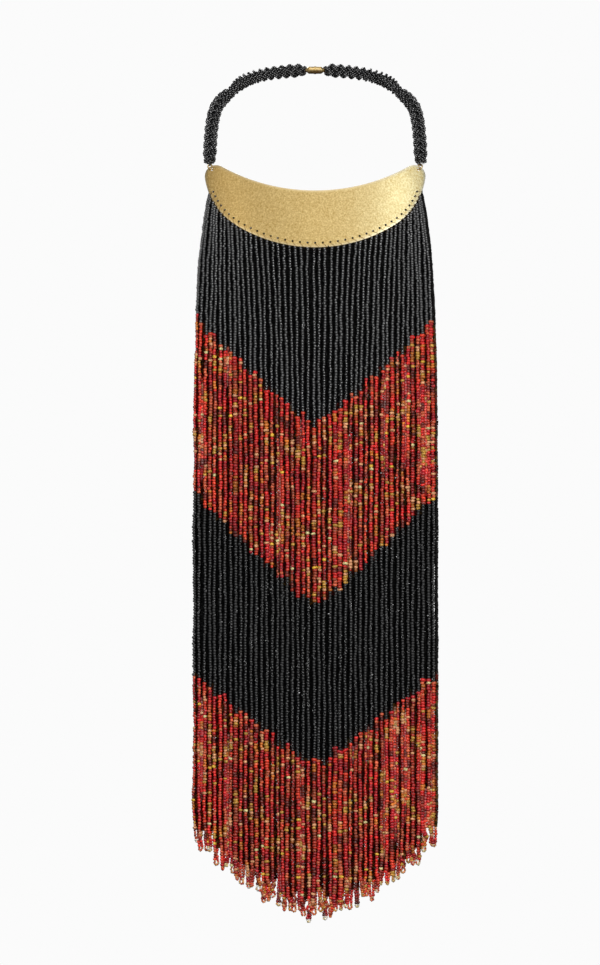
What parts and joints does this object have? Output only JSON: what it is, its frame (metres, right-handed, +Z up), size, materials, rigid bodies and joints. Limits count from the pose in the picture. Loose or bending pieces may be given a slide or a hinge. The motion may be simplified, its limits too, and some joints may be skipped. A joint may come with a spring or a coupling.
{
  "type": "beaded fringe necklace",
  "caption": "Bent brass crescent bib on a plaited bead cord with a barrel clasp, carrying a long straight fringe of seed bead strands in V-shaped black and red bands.",
  "frame": {"origin": "the nape of the neck, at the middle of the barrel clasp, where the cord rests on the back of the neck", "axes": "+Z up, -Y to the front, X across; the braid and plate are symmetric left to right"},
  "size_m": [0.197, 0.1794, 0.6911],
  "materials": {
    "hammered_brass": "hammered and brushed, lightly toned",
    "polished_brass": "polished wire and turned barrel",
    "black_glass_beads": "opaque glossy glass seed beads",
    "red_glass_beads": "opaque and transparent glossy glass seed beads in mixed reds, orange and gold",
    "waxed_thread": "twisted beading thread, waxed"
  },
  "bodies": {
    "root": {"crescent_plate": "hammered_brass", "jump_ring_left": "polished_brass", "jump_ring_right": "polished_brass", "barrel_clasp": "polished_brass", "braid_left_ply_1": "black_glass_beads", "braid_left_ply_2": "black_glass_beads", "braid_left_ply_3": "black_glass_beads", "braid_right_ply_1": "black_glass_beads", "braid_right_ply_2": "black_glass_beads", "braid_right_ply_3": "black_glass_beads", "fringe_black_upper": "black_glass_beads", "fringe_red_upper": "red_glass_beads", "fringe_black_lower": "black_glass_beads", "fringe_red_lower": "red_glass_beads"}
  },
  "joints": []
}
